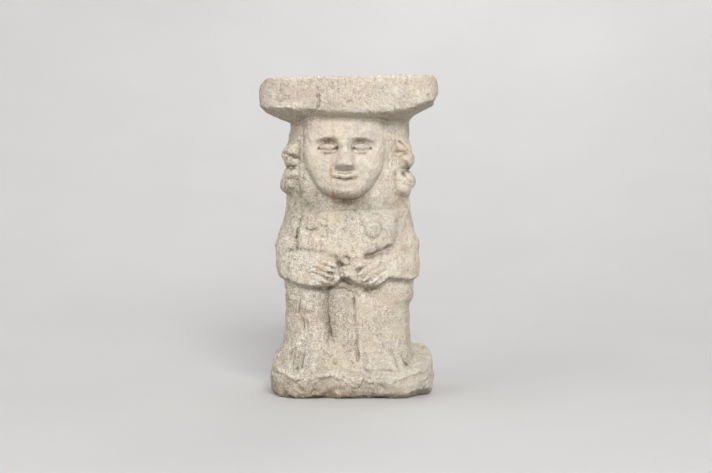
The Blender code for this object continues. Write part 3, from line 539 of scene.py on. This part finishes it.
# ---- Fine carving -------------------------------------------------------------------------
def carving(x, y, z):
    """How deep the finest cuts go: rings round the breasts, fingers, toes, hair and stray blows."""
    front, behind = step(y, -0.03, -0.04), step(y, -0.005, 0.015)
    wander = 0.0011 * lumps(x, y, z, 0.0062, 61)
    worn = 0.8 + 0.3 * lumps(x, y, z, 0.009, 62)
    x, z = x + wander, z + 0.0011 * lumps(x, y, z, 0.0062, 63)
    depth = np.zeros_like(x)
    for centre, radius in (((-0.041, 0.1945), 0.0076), ((0.0288, 0.1885), 0.0095)):
        away = np.hypot(x - centre[0], z - centre[1])
        depth += 0.0016 * mound(away, radius, 0.0018) * front
        depth += 0.0012 * mound(away, 0.48 * radius, 0.0014) * front
    for width, deep, *line in map(metres, (
            (1.3, 1.6, -34, 151.5, -24, 148.5, -15, 145.2),
            (1.3, 1.8, -39.5, 146.8, -29, 143, -16, 139.2),
            (1.3, 1.8, -40.5, 141.4, -29, 137.2, -19, 133.5),
            (1.3, 1.8, 9.8, 141.5, 20, 148.8, 30.5, 155.6),
            (1.3, 2, 15.5, 135.2, 27, 143, 38, 150.6),
            (1.3, 1.8, 22.5, 130.4, 33, 137.2, 42.5, 144.8),
            (1.4, 0.6, -5.5, 148.5, -3, 146.5, 2, 147.5, 4, 152, 1, 156),
            (1.5, 0.8, -12, 155, -8.5, 149, -7.2, 139), (2.2, 1.8, -23.7, 197.5, -23.2, 176),
            (1.2, 1.2, 3.5, 112, 4, 65))):
        depth += groove(x, z, line, width, deep) * front
    for *ends, width, deep in map(metres, (
            (59, 289, 69, 280, 1.8, 1.9), (56, 278, 70, 274, 1.9, 2), (58, 270, 68, 263, 1.8, 1.9),
            (-56, 288, -54.8, 265, 2.2, 1.3), (-56, 256, -55, 236, 2.2, 1.5),
            (53, 290, 52, 262, 2.2, 1.3), (53, 254, 54, 234, 2.2, 1.3),
            (62, 253, 72, 242, 1.8, 2.4), (-71, 274, -58, 270, 1.8, 2.6),
            (-73, 248, -58, 246, 1.8, 2.6))):
        depth += cut(x, z, ends[:2], ends[2:], width, deep) * step(y, -0.01, -0.02)
    hair = window(z, 0.214, 0.232, 0.3, 0.305)
    beside = step(np.abs(x + 0.002), 0.0465, 0.048) * step(np.abs(x), 0.06, 0.056)
    depth += 0.0009 * strands(np.abs(x), 0.0042) * beside * hair * step(y, -0.02, -0.028)
    fall = step(z, 0.196 + 5.0 * x * x, 0.206 + 5.0 * x * x) * step(z, 0.312, 0.3)
    turn = np.arctan2(x, y + 0.02)
    wander = 0.15 * lumps(x, y, 0.4 * z, 0.02, 71)
    depth += 0.002 * strands(turn + wander, 0.115, 2) * fall * behind
    for *ends, width, deep in map(metres, (
            (-48.6, 100, -48.6, 91, 1.3, 2.6), (-50.3, 88, -50.3, 78, 1.3, 3),
            (-52.5, 94, -53.5, 86, 1.4, 2.2), (-55.2, 108, -56, 94, 1.8, 2),
            (-38, 96, -38.5, 85, 1, 1), (-75, 349, -74.5, 338, 1.3, 2),
            (-32.8, 346, -31.8, 335, 1.4, 2), (-31.8, 335, -32.6, 323.5, 2.2, 1.6),
            (-15.9, 348, -15, 334, 1.2, 1.8), (6.8, 115, 8.2, 85, 1.4, 1.8),
            (8.4, 81, 11.2, 42, 1.4, 1.6), (-41.5, 94, -42.2, 85, 1.2, 1.6),
            (-45.2, 84, -46, 73, 1.2, 1.8), (-59, 82, -60, 70, 1.3, 1.4),
            (-21.5, 90, -19, 72, 1.6, 1.4), (-63.8, 53, -66, 41, 1.4, 2.4),
            (-59, 54.5, -60.8, 37, 1.4, 2.8), (-53.8, 50, -56, 35, 1.3, 2.4),
            (-48.4, 52, -50, 36, 1.4, 2.8), (-42.5, 47, -43.2, 36, 1.2, 1.6),
            (-62, 47, -56, 45, 1, 1.4), (36.2, 40, 37.8, 31, 1.5, 1),
            (43.9, 43, 47.2, 32, 1.6, 1.2), (51.5, 47, 57.2, 33, 1.5, 2.4),
            (59, 49, 66, 38, 1.4, 2.2), (-48, 34.5, -60, 33.5, 1.2, 1.4),
            (25, 32.5, 56, 31.8, 1.3, 1.3))):
        depth += cut(x, z, ends[:2], ends[2:], width, deep) * front
    parting = MOUTH + 0.0006 + 0.0012 * ((x - FACE_OFFSET) / 0.013) ** 2
    worn_full = mound(z, parting, 0.0018) * step(np.abs(x - FACE_OFFSET), 0.0175, 0.0125)
    return depth * worn - 0.0009 * worn_full * front


def weather(x, y, z):
    """How far the weather left the skin out or in, its finest part on its own, about -1 to 1,
    which pits pull down, and how rough the stone is, from 0 to 1: the face is the smoothest."""
    coarse = 0.55 + 0.45 * lumps(x, y, z, 0.034, 3)
    oval = np.hypot((x - FACE_OFFSET) / 0.047, (z - 0.272) / 0.054)
    face = step(y, -0.03, -0.045) * step(oval, 1.1, 0.9)
    lips = mound(np.hypot((x - FACE_OFFSET) / 2.0, z - MOUTH), 0.0, 0.008)
    calm = 1.0 - (0.5 + 0.35 * lips) * face
    hewn_part = step(z, 0.04, 0.026)
    out = 0.00085 * lumps(x, y, z, 0.013, 11) + 0.00085 * lumps(x, y, z, 0.0066, 12)
    crags = 0.0046 * (0.26 - np.abs(lumps(x, y, z, 0.02, 15)))
    crags += 0.0028 * (0.26 - np.abs(lumps(x, y, z, 0.01, 16)))
    crags += 0.0024 * flakes(x, y, z, 0.015, 81) + 0.001 * flakes(x, y, z, 0.0075, 91)
    crags = np.where(crags > 0.0, 0.0025 * np.tanh(crags / 0.003), crags)
    under_slab = window(z, 0.304, 0.31, 0.326, 0.336) * step(np.abs(y), 0.052, 0.062)
    crags *= 1.0 - 0.55 * step(x, -0.062, -0.078) * step(y, 0.0, -0.03)
    out += hewn_part * crags + 0.0012 * under_slab * flakes(x, y, z, 0.012, 101)
    grain = 0.6 * lumps(x, y, z, 0.0042, 13) + 0.75 * lumps(x, y, z, 0.0027, 14)
    large = np.maximum(pits(x, y, z, 0.0085, 21), 0.0) * (0.3 + 0.7 * coarse)
    small = np.maximum(pits(x, y, z, 0.0042, 31), 0.0) * (0.5 + 0.5 * coarse)
    on_slab = step(z, 0.322, 0.33)
    out += 0.0008 * on_slab * lumps(x, y, 0.25 * z, 0.014, 17)
    out = out + 0.00062 * grain - 0.0007 * large - 0.0005 * small
    calm = calm * np.where(z > 0.318, 0.78, np.clip(0.95 - 5.0 * x, 0.68, 1.2))
    return out * calm, grain - 0.6 * large - 0.6 * small, calm


# ---- Casting the skin ---------------------------------------------------------------------
REACH = 0.15  # outside every form, from the middle line
CAP = 0.045  # the middle line starts this far above the floor and ends this far below the top
GUIDE = (0.105, 0.08)  # half width and half depth of the upright oval that the rays aim at
FRONT_SHARE = 0.42  # how much denser the columns stand on the front
UNDER_SHARE, OVER_SHARE = 0.15, 0.5  # how dense the rows are under the base and over the slab
DENSE_ROWS = ((0.218, 0.305, 0.4), (0.122, 0.172, 0.15))  # from, to, how much denser: face, hands
FIRST_COLUMNS, FIRST_ROWS = 73, 120  # of the coarse cast that the fine one is spaced by
POLE_GAP = 0.004  # the share of the way that each end's fan takes


def cast(origin, aim):
    """Walks in from outside along each ray until the distance is nothing: the outermost skin."""
    way = aim - origin
    way /= np.linalg.norm(way, axis=1)[:, None]
    reach = np.full(len(way), REACH)
    for _ in range(60):
        point = origin + way * reach[:, None]
        reach = np.maximum(reach - 0.8 * figure(*point.T), 0.004)
    return origin + way * reach[:, None]


def grid(us, vs):
    """Skin points for every row v and column u, both from 0 to 1. Rows run up the guide oval:
    from the middle of its foot, along its side and over its top to the middle."""
    u, v = (each.ravel() for each in np.meshgrid(us, vs))
    foot = GUIDE[0]
    walked = v * (2 * foot + HEIGHT)
    out = np.clip(np.minimum(walked, 2 * foot + HEIGHT - walked) / foot, 0.0, 1.0)
    height = np.clip(walked - foot, 0.0, HEIGHT)
    turn = FULL_TURN * u
    aim = np.stack([out * GUIDE[0] * np.cos(turn), out * GUIDE[1] * np.sin(turn), height], axis=-1)
    origin = np.zeros_like(aim)
    origin[:, 2] = np.clip(height, CAP, HEIGHT - CAP)
    return cast(origin, aim).reshape(len(vs), len(us), 3)


def even_out(ways, lengths, count):
    """count places along ways, so that the lengths between them come out alike."""
    walked = np.concatenate([[0.0], np.cumsum(lengths)])
    return np.interp(np.linspace(0.0, walked[-1], count), walked, ways)


def skin(columns, rows):
    """The skin as a grid of points, its rows and columns spread by a first, coarse cast."""
    us = np.linspace(0.0, 1.0, FIRST_COLUMNS)
    vs = np.linspace(POLE_GAP, 1.0 - POLE_GAP, FIRST_ROWS)
    first = grid(us, vs)
    across = np.linalg.norm(np.diff(first, axis=1), axis=2).mean(axis=0)
    across *= 1.0 - FRONT_SHARE * np.sin(FULL_TURN * (us[1:] + us[:-1]) / 2)
    along = np.linalg.norm(np.diff(first, axis=0), axis=2).mean(axis=1)
    walked = (vs[1:] + vs[:-1]) / 2 * (2 * GUIDE[0] + HEIGHT)
    under, over = walked < 0.85 * GUIDE[0], walked > 1.1 * GUIDE[0] + HEIGHT
    along *= np.where(under, UNDER_SHARE, np.where(over, OVER_SHARE, 1.0))
    height = walked - GUIDE[0]
    for low, high, denser in DENSE_ROWS:
        along *= 1.0 + denser * ((height > low) & (height < high))
    return grid(even_out(us, across, columns + 1)[:-1], even_out(vs, along, rows))


def outward(points):
    """The form's own normals: the way in which the distance grows fastest."""
    near = 0.0004
    x, y, z = points.T
    slope = np.stack([
        figure(x + near, y, z) - figure(x - near, y, z),
        figure(x, y + near, z) - figure(x, y - near, z),
        figure(x, y, z + near) - figure(x, y, z - near)], axis=-1)
    return slope / np.maximum(np.linalg.norm(slope, axis=1), 1e-12)[:, None]


def sheltered(points, normals):
    """How hidden each place is, from 0 to 1: how much nearer stone is found on the way out from
    it than over open stone, at three lengths."""
    total = 0.0
    for reach, share in ((0.003, 0.35), (0.008, 0.35), (0.016, 0.3)):
        found = figure(*(points + normals * reach).T) / reach
        total = total + share * np.clip(1.0 - found, 0.0, 1.0)
    return total


def exposed(points, normals):
    """How far each place stands on an outer edge, from 0 to 1: how much nearer the skin is, just
    below it, than it is below flat stone."""
    reach = 0.004
    return np.clip(1.0 + figure(*(points - normals * reach).T) / reach, 0.0, 1.0)


ARM_SHADE_AND_GRIME, BODY_SHADE_AND_GRIME, FINE_SHADE_AND_GRIME = 66.0, 58.0, 260.0  # painted shade and grime for each metre of a cut's depth


def weathered_skin():
    """The skin's points after carving and weather have moved them, and for each point how
    sheltered it is, how exposed it is, and how far its grain stands out."""
    points = skin(SKIN_COLUMNS, SKIN_ROWS)
    shape = points.shape
    points = points.reshape(-1, 3)
    normals = outward(points)
    hollow_shade, edge_wear_and_highlight = sheltered(points, normals), exposed(points, normals)
    out, grain, rough = weather(*points.T)
    cuts = carving(*points.T)
    out = out - cuts
    points = points + normals * out[:, None]
    points[:, 2] = np.maximum(points[:, 2], 0.0)
    # Painted shade: how far each face turns down, for darkening undersides.
    underside_shade = step(-normals[:, 2], 0.25, 0.9)
    x, y, z = points.T
    # Painted shade, with some grime: the deeper a cut, the darker it is painted.
    cut_shade_and_grime = ARM_SHADE_AND_GRIME * arm_cuts(x, z) + BODY_SHADE_AND_GRIME * body_cuts(x, z)
    cut_shade_and_grime = cut_shade_and_grime * step(y, -0.01, -0.03) * (0.75 + 0.55 * lumps(x, y, z, 0.008, 64))
    cut_shade_and_grime = FINE_SHADE_AND_GRIME * cuts + cut_shade_and_grime
    # hollow_shade paints shade where the stone hides itself and in the cuts, with some grime.
    marks = {"hollow_shade": hollow_shade + cut_shade_and_grime, "edge_wear_and_highlight": edge_wear_and_highlight, "grain": 0.5 + 0.5 * grain,
             "rough": rough, "underside_shade": underside_shade}
    return points.reshape(shape), marks


def ring_mesh(name, points, ends):
    """A smooth mesh of closed rings of points: quads between neighbours, and a fan from the
    first ring to the first of the ends and, where there are two, from the last to the second."""
    rows, columns, _ = points.shape
    index = np.arange(rows * columns).reshape(rows, columns)
    after = np.roll(index, -1, axis=1)
    quads = np.stack([index[:-1], after[:-1], after[1:], index[1:]], axis=-1).reshape(-1, 4)
    faces = quads.tolist()
    edges = ((after[0], index[0]), (index[-1], after[-1]))
    for number, (near, far) in enumerate(edges[:len(ends)]):
        faces += np.stack([near, far, np.full(columns, index.size + number)], axis=-1).tolist()
    mesh = bpy.data.meshes.new(name)
    mesh.from_pydata(np.concatenate([points.reshape(-1, 3), ends]).tolist(), [], faces)
    mesh.shade_smooth()
    return mesh


def placed(name, data):
    """A new object that holds this data, linked into the scene."""
    made = bpy.data.objects.new(name, data)
    bpy.context.scene.collection.objects.link(made)
    return made


def figure_mesh(material):
    """The weathered skin as a closed mesh round the solid's middle, each end closed by a fan,
    with its marks and stains as attributes that the stone's colours read."""
    points, marks = weathered_skin()
    points[..., :2] += box_middle() - (points.min(axis=(0, 1)) + points.max(axis=(0, 1)))[:2] / 2
    mesh = ring_mesh("figure_skin", points, points[[0, -1]].mean(axis=1))
    marks.update(stains(*points.reshape(-1, 3).T))
    for name, amount in marks.items():
        add_attribute(mesh, name, amount)
    mesh.materials.append(material)
    return placed("stone_figurine", mesh)


def box_middle():
    """The middle of the solid in plan."""
    low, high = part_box("figure")
    return np.array([(low.x + high.x) / 2, (low.y + high.y) / 2])


def add_attribute(mesh, name, values):
    """One number for each point of the mesh, with nothing at the two ends' middles."""
    attribute = mesh.attributes.new(name, "FLOAT", "POINT")
    attribute.data.foreach_set("value", np.concatenate([values, [0.0, 0.0]]).astype(np.float32))


def stains(x, y, z):
    """Where water and iron coloured the stone, from 0 to 1: rust and ochre; and dark stains and
    soil, which also hold painted shade under the chin, ears, hands and the slab's edge, in
    recesses, along the floor line and towards -X.
    """
    front = step(y, -0.02, -0.035)
    wander = 0.0014 * lumps(x, y, z, 0.011, 51) + 0.0006 * lumps(x, y, z, 0.003, 52)
    ragged = 0.5 + 0.5 * lumps(x, y, z, 0.006, 53)
    vein = profile(z, (
        (210, -16), (222, -16.8), (245, -20.2), (268, -19.6), (290, -16.3), (315, -18)))
    away = np.abs(x - vein + wander)
    rust = 0.45 * step(away, 0.0022, 0.0006) * window(z, 0.284, 0.292, 0.31, 0.316) * ragged
    rust += 0.9 * step(away, 0.0018, 0.0004) * window(z, 0.214, 0.219, 0.226, 0.236)
    rust += 0.5 * step(away, 0.0015, 0.0004) * window(z, 0.22, 0.228, 0.256, 0.264) * ragged
    ochre = step(away, 0.0025, 0.0006) * window(z, 0.218, 0.226, 0.258, 0.266)
    ochre = ochre * (0.5 + 0.5 * ragged)
    for across, up, size, amount in (
            (0.0645, 0.266, 0.01, 0.85), (0.058, 0.228, 0.006, 0.6),
            (0.0666, 0.17, 0.008, 0.7), (-0.024, 0.1355, 0.006, 0.8),
            (-0.05, 0.138, 0.008, 0.35), (-0.052, 0.085, 0.009, 0.3)):
        spot = np.hypot(x - across, (z - up) * 0.8) + 6 * wander
        rust += amount * step(spot, size, 0.2 * size) * (0.4 + 0.6 * ragged)
    for across, up, size, amount in (
            (0.047, 0.11, 0.011, 0.25), (-0.015, 0.206, 0.012, 0.4),
            (0.065, 0.275, 0.013, 0.5), (-0.03, 0.15, 0.01, 0.45)):
        spot = np.hypot(x - across, z - up) + 6 * wander
        ochre += amount * step(spot, size, 0.2 * size)
    # Painted shade over soil patches: the slab's rim darkens towards -X.
    slab_soil_and_side_shade = step(z, 0.322, 0.328) * (0.3 - 1.6 * x)
    foot = step(z + 4 * wander, 0.026, 0.008) * step(x, 0.02, -0.01)
    slab_rim = step(z, 0.322, 0.33) * (0.5 + 0.5 * lumps(x, y, z, 0.016, 54))
    ochre = ochre + 0.28 * foot * (0.2 + 0.8 * ragged)
    rust = rust * front + 0.25 * foot * ragged + 0.16 * slab_rim
    # Dark crust on the neck's -X side, and painted shade under the chin and under both ears.
    neck_crust_and_shade = 0.8 * mound(np.hypot(x + 0.05, z - 0.222), 0.0, 0.022) + 0.5 * mound(z, 0.216, 0.01)
    neck_crust_and_shade = neck_crust_and_shade + 0.8 * mound(np.hypot((x - 0.004) / 2.6, z - 0.2135), 0.0, 0.0065)
    neck_crust_and_shade = neck_crust_and_shade + 0.6 * mound(np.hypot(x + 0.063, 1.4 * (z - 0.232)), 0.0, 0.012)
    neck_crust_and_shade = neck_crust_and_shade + 0.3 * mound(np.hypot(x - 0.055, 1.2 * (z - 0.226)), 0.0, 0.01)
    # Painted shade under the hands; the recess beside the leg at -X darkened, partly painted shade
    # and partly dirt.
    shade_under_hands = 0.5 * mound(np.hypot((x + 0.003) / 2.2, z - 0.1268), 0.0, 0.006)
    recess = 0.55 * groove(x, z, metres((-23.4, 117, -23, 98.5, -20.5, 68)), 0.0036, 1.0)
    dark_stain_and_shade = front * (neck_crust_and_shade + shade_under_hands + recess) * (0.35 + 0.65 * ragged)
    # Painted contact shadow along the floor line, and above it a dark band across the base's front.
    dark_stain_and_shade += 0.55 * mound(z, 0.0, 0.0055)
    dark_stain_and_shade += 0.35 * front * mound(z + 2 * wander, 0.0135, 0.006) * ragged
    patchy = 0.5 + 0.5 * lumps(x, y, z, 0.017, 55)
    beside = step(np.abs(x + 0.002), 0.044, 0.05) * window(z, 0.212, 0.224, 0.31, 0.33)
    soil_and_shade = beside * np.maximum(0.12 - 2.0 * x, 0.0) * (0.6 + 0.4 * patchy)
    # Painted shade under the chin, above the chest's ridge.
    shade_above_ridge = step(z - RIDGE_TILT * x, 0.2085, 0.211) * step(z, 0.232, 0.218)
    soil_and_shade += 0.42 * shade_above_ridge * step(np.abs(x), 0.062, 0.05)
    # Darker over the legs, between them below the hands and low on the base's front.
    soil_and_shade += window(z, 0.036, 0.048, 0.112, 0.126) * (0.14 + 0.3 * patchy)
    soil_and_shade += 0.22 * mound(x + 0.01, 0.0, 0.014) * window(z, 0.06, 0.09, 0.118, 0.126)
    soil_and_shade += step(z + 3 * wander, 0.027, 0.019) * (0.45 + 0.4 * patchy) * step(x, 0.09, 0.02)
    # Painted shade down the -X side.
    soil_and_shade += 0.25 * step(x, -0.06, -0.078) * patchy
    soil_and_shade += 0.45 * mound(np.hypot(x + 0.048, 1.3 * (z - 0.042)), 0.0, 0.022) * patchy
    soil_and_shade += np.clip(slab_soil_and_side_shade, 0.06, 0.4) * (0.4 + 0.9 * patchy)
    # Painted shade along the slab's lower edge.
    soil_and_shade += 0.5 * mound(z + 1.5 * wander, 0.3215, 0.0032) * ragged
    # Painted shade, with soil, in the recess beside the leg at -X and under the +X breast.
    soil_and_shade += 0.9 * groove(x, z, metres((-22.8, 117, -22.2, 98.5, -19.5, 76.2)), 0.0066, 1.0)
    soil_and_shade += 0.5 * groove(x, z, metres((56, 198, 49, 173, 40, 168, 22, 163)), 0.006, 1.0)
    soil_and_shade = soil_and_shade * (0.4 + 0.6 * front)
    stained = {"rust": rust, "ochre": ochre * front, "dark_stain_and_shade": dark_stain_and_shade, "soil_and_shade": soil_and_shade}
    return {name: np.clip(amount, 0.0, 1.0) for name, amount in stained.items()}


# ---- The stone's finish -------------------------------------------------------------------
def linear(red, green, blue):
    """A colour as the eye reads it, 0 to 255, turned into the light that it sends back."""
    parts = np.array([red, green, blue]) / 255
    return (*np.where(parts < 0.04045, parts / 12.92, ((parts + 0.055) / 1.055) ** 2.4), 1.0)


class Finish:
    """Adds nodes to one material: each call returns the new node's first output."""

    def __init__(self, name):
        self.material = bpy.data.materials.new(name)
        self.material.use_nodes = True
        self.tree = self.material.node_tree
        self.surface = self.tree.nodes["Principled BSDF"]
        self.place = self.tree.nodes.new("ShaderNodeTexCoord").outputs["Object"]

    def node(self, kind, **inputs):
        made = self.tree.nodes.new(kind)
        for name, value in inputs.items():
            self.feed(made.inputs[name.replace("_", " ")], value)
        return made

    def feed(self, socket, value):
        if isinstance(value, bpy.types.NodeSocket):
            self.tree.links.new(value, socket)
        else:
            socket.default_value = value

    def give(self, name, value):
        """Sets or feeds one input of the surface."""
        self.feed(self.surface.inputs[name], value)

    def noise(self, size, detail=3.0, rough=0.55, stretch=(1.0, 1.0, 1.0)):
        """Soft noise about size across, squeezed along the axes by stretch."""
        place = self.node("ShaderNodeMapping", Vector=self.place, Scale=stretch).outputs[0]
        made = self.node("ShaderNodeTexNoise", Vector=place, Scale=1.0 / size, Detail=detail,
                         Roughness=rough)
        return made.outputs["Fac"]

    def strokes(self, size):
        """How far from the winding lines where a noise passes through its middle value."""
        centred = self.maths("SUBTRACT", self.noise(size, 1.5, 0.5), 0.5)
        return self.maths("ABSOLUTE", centred)

    def between(self, value, low, high):
        """0 at low, 1 at high, and smooth between them. low may be above high."""
        made = self.tree.nodes.new("ShaderNodeMapRange")
        made.interpolation_type = "SMOOTHSTEP"
        ends = (low, high, 0.0, 1.0) if low < high else (high, low, 1.0, 0.0)
        for socket, number in zip(made.inputs, (value, *ends)):
            self.feed(socket, number)
        return made.outputs[0]

    def maths(self, what, first, second=0.5, third=0.5):
        made = self.tree.nodes.new("ShaderNodeMath")
        made.operation = what
        for socket, value in zip(made.inputs, (first, second, third)):
            self.feed(socket, value)
        return made.outputs[0]

    def mix(self, share, under, over):
        """under where share is 0 and over where it is 1."""
        made = self.tree.nodes.new("ShaderNodeMix")
        made.data_type = "RGBA"
        for socket, value in ((0, share), (6, under), (7, over)):
            self.feed(made.inputs[socket], value)
        return made.outputs[2]

    def attribute(self, name):
        made = self.tree.nodes.new("ShaderNodeAttribute")
        made.attribute_name = name
        return made.outputs["Fac"]


def stone_finish():
    """Coarse pale limestone: cream, grey and pinkish patches, bright crystals and dark pits,
    painted shade with some grime in hollows and cuts, painted shade on faces turned down, outer
    edges paler as worn edges and as a painted highlight, and rust, ochre, dark stains and soil,
    which carry painted shade too, where they are marked."""
    finish = Finish("weathered_stone")
    fine = finish.noise(0.0013, 2.0, 0.6)
    small = finish.noise(0.0028, 3.0, 0.65)
    coarse = finish.noise(0.0065, 3.0, 0.6)
    patch = finish.noise(0.016, 4.0, 0.62)
    tone = finish.noise(0.06, 3.0, 0.6)
    relief = finish.attribute("grain")
    streaks = finish.noise(0.003, 2.0, 0.6, stretch=(1.0, 1.0, 0.28))
    strokes = finish.strokes(0.0046)
    worn = finish.between(finish.noise(0.02, 3.0), 0.36, 0.62)
    worn = finish.maths("MULTIPLY_ADD", worn, 0.45, 0.65)

    colour = finish.mix(finish.between(tone, 0.4, 0.62), linear(215, 204, 183),
                        linear(202, 193, 182))
    colour = finish.mix(finish.between(patch, 0.46, 0.66), colour, linear(222, 213, 196))
    pink = finish.maths("MULTIPLY", finish.between(finish.noise(0.024, 3.0), 0.5, 0.66), 0.55)
    colour = finish.mix(pink, colour, linear(210, 190, 175))
    # Soil, and the painted shade that soil_and_shade also marks.
    colour = finish.mix(finish.attribute("soil_and_shade"), colour, linear(168, 157, 144))
    # Painted shade: faces that turn down are darkened.
    colour = finish.mix(finish.maths("MULTIPLY", finish.attribute("underside_shade"), 0.58), colour,
                        linear(150, 138, 120))
    rough = finish.attribute("rough")
    for amount, low, high, strength, tint in (
            (coarse, 0.46, 0.3, 0.35, linear(170, 154, 130)),
            (streaks, 0.44, 0.3, 0.35, linear(158, 140, 116)),
            (relief, 0.4, 0.00, 0.6, linear(142, 125, 101)),
            (small, 0.47, 0.34, 0.32, linear(144, 129, 106)),
            (strokes, 0.026, 0.0, 0.42, linear(140, 125, 104)),
            (fine, 0.46, 0.31, 0.62, linear(134, 120, 98)),
            (streaks, 0.56, 0.7, 0.35, linear(240, 233, 218)),
            (relief, 0.62, 0.95, 0.35, linear(242, 236, 222)),
            (small, 0.54, 0.66, 0.26, linear(246, 241, 228)),
            (fine, 0.54, 0.68, 0.62, linear(250, 246, 234))):
        share = finish.maths("MULTIPLY", finish.between(amount, low, high), strength)
        share = finish.maths("MULTIPLY", share, finish.maths("MULTIPLY", rough, worn))
        colour = finish.mix(share, colour, tint)

    broken = finish.between(coarse, 0.25, 0.65)
    # Rust and ochre stains, and dark stains that also carry painted shade.
    for name, strength, tint in (
            ("ochre", 0.65, linear(192, 162, 116)), ("rust", 0.7, linear(162, 120, 84)),
            ("dark_stain_and_shade", 0.65, linear(118, 110, 92))):
        share = finish.maths("MULTIPLY", finish.attribute(name), finish.maths("ADD", broken, 0.3))
        share = finish.maths("MULTIPLY", share, finish.maths("MULTIPLY", small, 2.0 * strength))
        share = finish.maths("MINIMUM", share, 1.0)
        colour = finish.mix(share, colour, tint)

    # Painted shade, with some grime: hollows and cuts darkened towards brown.
    hollow_shade = finish.between(finish.attribute("hollow_shade"), 0.15, 0.85)
    shade_and_grime = finish.maths("MULTIPLY", hollow_shade, finish.maths("ADD", broken, 0.4))
    shade_and_grime = finish.maths("MINIMUM", finish.maths("MULTIPLY", shade_and_grime, 0.82), 1.0)
    colour = finish.mix(shade_and_grime, colour, linear(106, 92, 74))
    # Outer edges paler: partly worn edges, partly a painted highlight.
    edge_wear_and_highlight = finish.maths("MULTIPLY", finish.between(finish.attribute("edge_wear_and_highlight"), 0.12, 0.5),
                         finish.between(small, 0.42, 0.62))
    edge_wear_and_highlight = finish.maths("MULTIPLY", edge_wear_and_highlight, 0.55)
    colour = finish.mix(edge_wear_and_highlight, colour, linear(248, 242, 228))
    finish.give("Base Color", colour)

    height = finish.maths("MULTIPLY_ADD", small, 1.0, finish.maths("MULTIPLY", fine, 0.65))
    height = finish.maths("MULTIPLY_ADD", finish.between(coarse, 0.3, 0.5), 0.5, height)
    bump = finish.node("ShaderNodeBump", Strength=1.0, Distance=0.0016, Height=height)
    finish.give("Normal", bump.outputs[0])
    finish.give("Roughness", finish.maths("MULTIPLY_ADD", small, 0.2, 0.75))
    finish.give("Specular IOR Level", 0.3)
    return finish.material


# ---- The studio ---------------------------------------------------------------------------
def paper_sweep():
    """A pale paper floor that curves up all round, sooner behind the figure than in front of it:
    a turned surface whose height is a circle's arc once it leaves the flat."""
    turn_radius, arc_share, wall = 3.0, 0.94, 2.7
    turns, lengths = np.linspace(FULL_TURN, 0.0, 97)[:-1], np.linspace(0.02, 5.6, 120)
    turn, length = np.meshgrid(turns, lengths)
    start = 0.35 - 0.15 * np.sin(turn)
    past = np.maximum(length - start, 0.0)
    arc = np.minimum(past, arc_share * turn_radius)
    height = turn_radius - np.sqrt(turn_radius ** 2 - arc ** 2)
    height = height + wall * (past - arc)
    points = np.stack([length * np.cos(turn), length * np.sin(turn), height], axis=-1)
    mesh = ring_mesh("paper_sweep", points, [[0.0, 0.0, 0.0]])
    finish = Finish("paper")
    shade = finish.between(finish.noise(0.4), 0.3, 0.7)
    colour = finish.mix(shade, linear(210, 209, 208), linear(213, 212, 211))
    finish.give("Base Color", colour)
    finish.give("Roughness", 0.95)
    finish.give("Specular IOR Level", 0.1)
    mesh.materials.append(finish.material)
    return placed("paper_sweep", mesh)


def soft_light(name, place, aim, size, power):
    """A square soft light at place, turned to aim, hidden from the camera."""
    light = bpy.data.lights.new(name, "AREA")
    light.size, light.energy = size, power
    lamp = placed(name, light)
    lamp.location = place
    lamp.rotation_euler = (Vector(aim) - Vector(place)).to_track_quat("-Z", "Y").to_euler()
    lamp.visible_camera = False


def studio():
    """Plain soft light: a key from the right and above, a fill, and an even pale room."""
    middle = (0.0, 0.0, CAD_BOX[1][2] / 2)
    soft_light("key", (0.45, -2.7, 1.7), middle, 1.3, 93.0)
    soft_light("fill", (-1.8, -1.6, 1.9), middle, 1.2, 10.0)
    soft_light("back", (0.6, 1.9, 2.1), middle, 1.4, 11.0)
    soft_light("backdrop_light", (-0.3, 0.4, 3.0), (-0.6, 2.8, 1.7), 1.6, 29.0)
    world = bpy.data.worlds.new("room")
    world.use_nodes = True
    glow = world.node_tree.nodes["Background"].inputs
    glow["Color"].default_value = (1.0, 0.995, 0.98, 1.0)
    glow["Strength"].default_value = 0.18
    bpy.context.scene.world = world
    bpy.context.scene.view_settings.view_transform = "Standard"


CAMERA_AWAY = (0.0083, -1.164, 0.0005)  # from the middle of the solid's box


def camera():
    """Level with the figure's middle, a little towards +X, with a 50 mm lens."""
    lens = bpy.data.cameras.new("camera")
    lens.lens, lens.sensor_width = 50.0, 36.0
    lens.clip_start = 0.05
    stand = placed("camera", lens)
    stand.location = [(low + high) / 2 + away for low, high, away in zip(*CAD_BOX, CAMERA_AWAY)]
    stand.rotation_euler = (np.pi / 2, 0.0, 0.0)
    bpy.context.scene.camera = stand


camera()
studio()
paper_sweep()
stone = figure_mesh(stone_finish())
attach(stone, "root")
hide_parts("figure")
